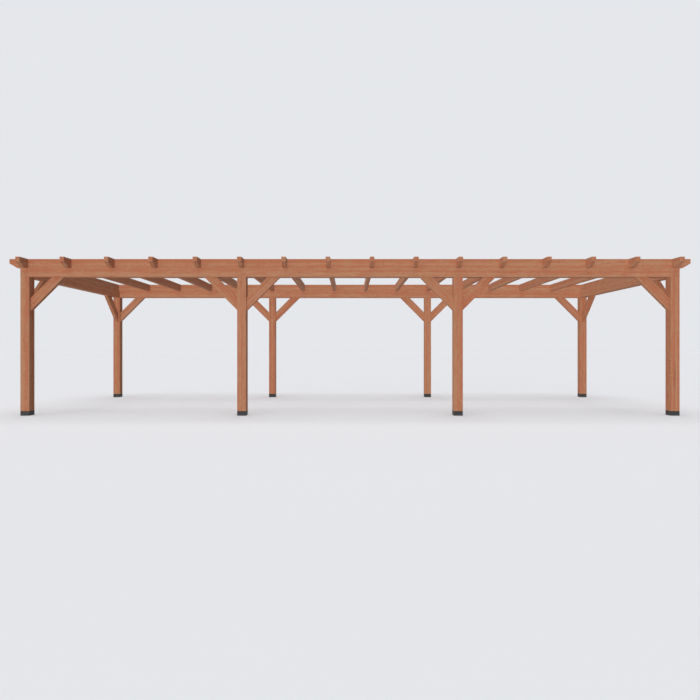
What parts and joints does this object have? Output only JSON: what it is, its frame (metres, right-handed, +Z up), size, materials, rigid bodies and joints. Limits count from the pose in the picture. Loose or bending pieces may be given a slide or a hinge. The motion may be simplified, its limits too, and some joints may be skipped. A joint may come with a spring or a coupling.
{
  "type": "timber patio cover",
  "caption": "Open free-standing timber patio cover: square posts on black shoes, braced beams and a flat roof of notched rafters with tapered tips.",
  "frame": {"origin": "on the ground, at the centre of the plan", "axes": "+X along the cover to the right, +Y from the front row of posts to the back row, +Z up"},
  "size_m": [11, 4, 2.53],
  "materials": {
    "timber": "planed softwood with a red-brown oiled finish",
    "black_steel": "matt black powder coat"
  },
  "bodies": {
    "root": {"post_front_left_end": "timber", "shoe_front_left_end": "black_steel", "post_front_left_middle": "timber", "shoe_front_left_middle": "black_steel", "post_front_right_middle": "timber", "shoe_front_right_middle": "black_steel", "post_front_right_end": "timber", "shoe_front_right_end": "black_steel", "ring_beam_front": "timber", "top_beam_front": "timber", "front_braces": "timber", "post_back_left_end": "timber", "shoe_back_left_end": "black_steel", "post_back_left_middle": "timber", "shoe_back_left_middle": "black_steel", "post_back_right_middle": "timber", "shoe_back_right_middle": "black_steel", "post_back_right_end": "timber", "shoe_back_right_end": "black_steel", "ring_beam_back": "timber", "top_beam_back": "timber", "back_braces": "timber", "side_beam_left": "timber", "left_braces": "timber", "side_beam_right": "timber", "right_braces": "timber", "rafter_01": "timber", "rafter_02": "timber", "rafter_03": "timber", "rafter_04": "timber", "rafter_05": "timber", "rafter_06": "timber", "rafter_07": "timber", "rafter_08": "timber", "rafter_09": "timber", "rafter_10": "timber", "rafter_11": "timber", "rafter_12": "timber", "rafter_13": "timber", "rafter_14": "timber", "rafter_15": "timber", "rafter_16": "timber"}
  },
  "joints": []
}
